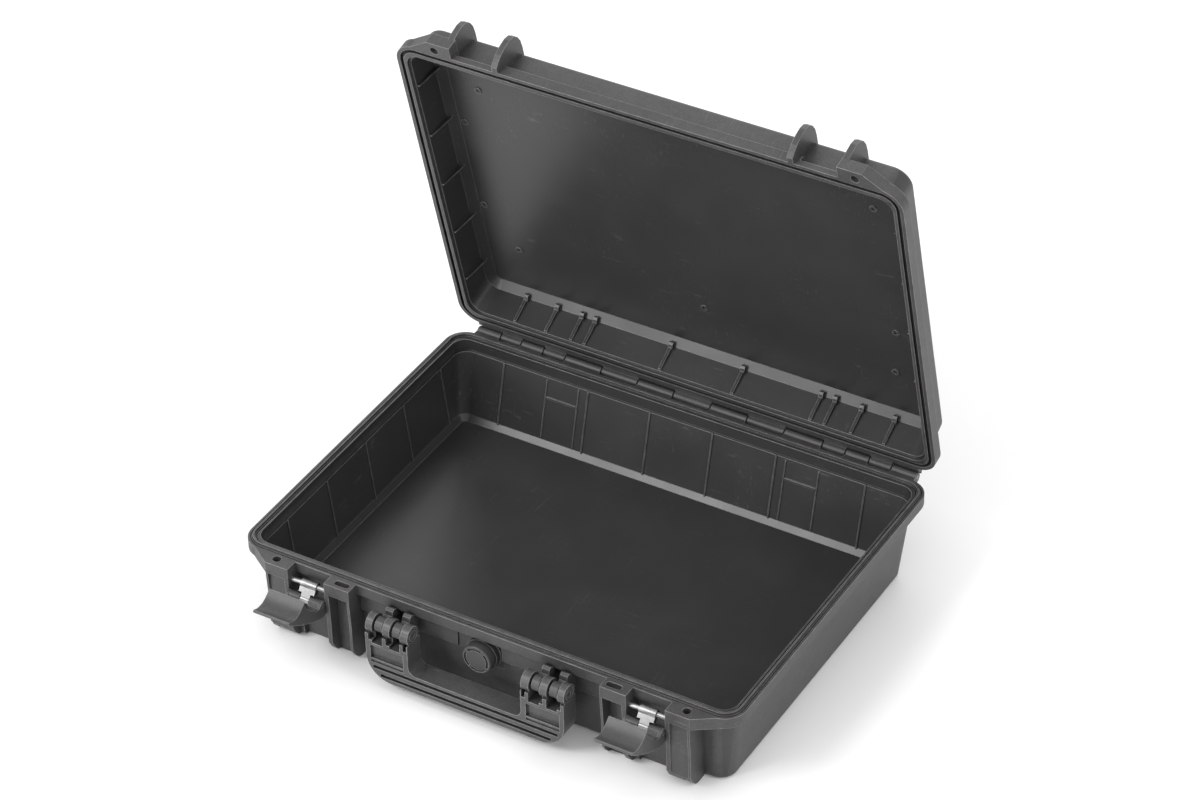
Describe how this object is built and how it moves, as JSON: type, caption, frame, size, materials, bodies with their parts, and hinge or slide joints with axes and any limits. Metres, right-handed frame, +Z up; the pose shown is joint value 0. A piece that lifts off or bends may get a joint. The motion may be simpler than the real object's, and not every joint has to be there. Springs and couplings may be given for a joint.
{
  "type": "hard equipment case",
  "caption": "Hinged waterproof-type hard case with a deep base, shallow lid, front carry handle, over-centre latches, padlock bosses and a pressure valve.",
  "frame": {"origin": "middle of the base's rim rectangle, on the flat bottom face", "axes": "+X right along the front, +Y from the front to the hinge, +Z up; the lid is stored standing open and the handle hanging"},
  "size_m": [0.5, 0.4746, 0.4648],
  "materials": {
    "case_plastic": "satin moulded",
    "latch_plastic": "satin moulded",
    "handle_plastic": "satin moulded",
    "valve_plastic": "satin moulded",
    "seal_rubber": "matt",
    "membrane": "matt",
    "steel": "satin"
  },
  "bodies": {
    "base": {"base_shell": "case_plastic", "hinge_pin": "steel", "handle_pin_left": "steel", "handle_pin_right": "steel", "latch_left_crossbar": "steel", "latch_right_crossbar": "steel", "valve_housing": "valve_plastic", "valve_ring_seal": "seal_rubber", "valve_membrane": "membrane", "valve_retainer": "steel", "valve_nut": "valve_plastic"},
    "lid": {"lid_shell": "case_plastic", "lid_seal": "seal_rubber"},
    "carry_handle": {"handle": "handle_plastic"},
    "valve_knob": {"valve_cap": "valve_plastic"},
    "link_left": {"latch_left_link": "steel", "latch_left_lever_pin": "steel"},
    "lever_left": {"latch_left_lever": "latch_plastic"},
    "link_right": {"latch_right_link": "steel", "latch_right_lever_pin": "steel"},
    "lever_right": {"latch_right_lever": "latch_plastic"}
  },
  "joints": [
    {"name": "lid_hinge", "type": "hinge", "parent": "base", "child": "lid", "pos_m": [0, 0.191, 0.08], "axis": [-1, 0, 0], "range_deg": [-76, 24]},
    {"name": "handle_swing", "type": "hinge", "parent": "base", "child": "carry_handle", "pos_m": [0, -0.201, 0.066], "axis": [-1, 0, 0], "range_deg": [0, 100]},
    {"name": "valve_turn", "type": "hinge", "parent": "base", "child": "valve_knob", "pos_m": [0, -0.1765, 0.054], "axis": [0, -1, 0], "range_deg": [0, 90]},
    {"name": "lever_left_throw", "type": "hinge", "parent": "link_left", "child": "lever_left", "pos_m": [-0.171, -0.197, 0.0575], "axis": [-1, 0, 0], "range_deg": [0, 97.8]},
    {"name": "link_left_swing", "type": "hinge", "parent": "base", "child": "link_left", "pos_m": [-0.171, -0.1885, 0.068], "axis": [-1, 0, 0], "range_deg": [-38, 0]},
    {"name": "lever_right_throw", "type": "hinge", "parent": "link_right", "child": "lever_right", "pos_m": [0.171, -0.197, 0.0575], "axis": [-1, 0, 0], "range_deg": [0, 97.8]},
    {"name": "link_right_swing", "type": "hinge", "parent": "base", "child": "link_right", "pos_m": [0.171, -0.1885, 0.068], "axis": [-1, 0, 0], "range_deg": [-38, 0]}
  ],
  "couplings": [
    {"joint": "link_left_swing", "follows": "lever_left_throw", "ratio": -0.38855},
    {"joint": "link_right_swing", "follows": "lever_right_throw", "ratio": -0.38855}
  ]
}
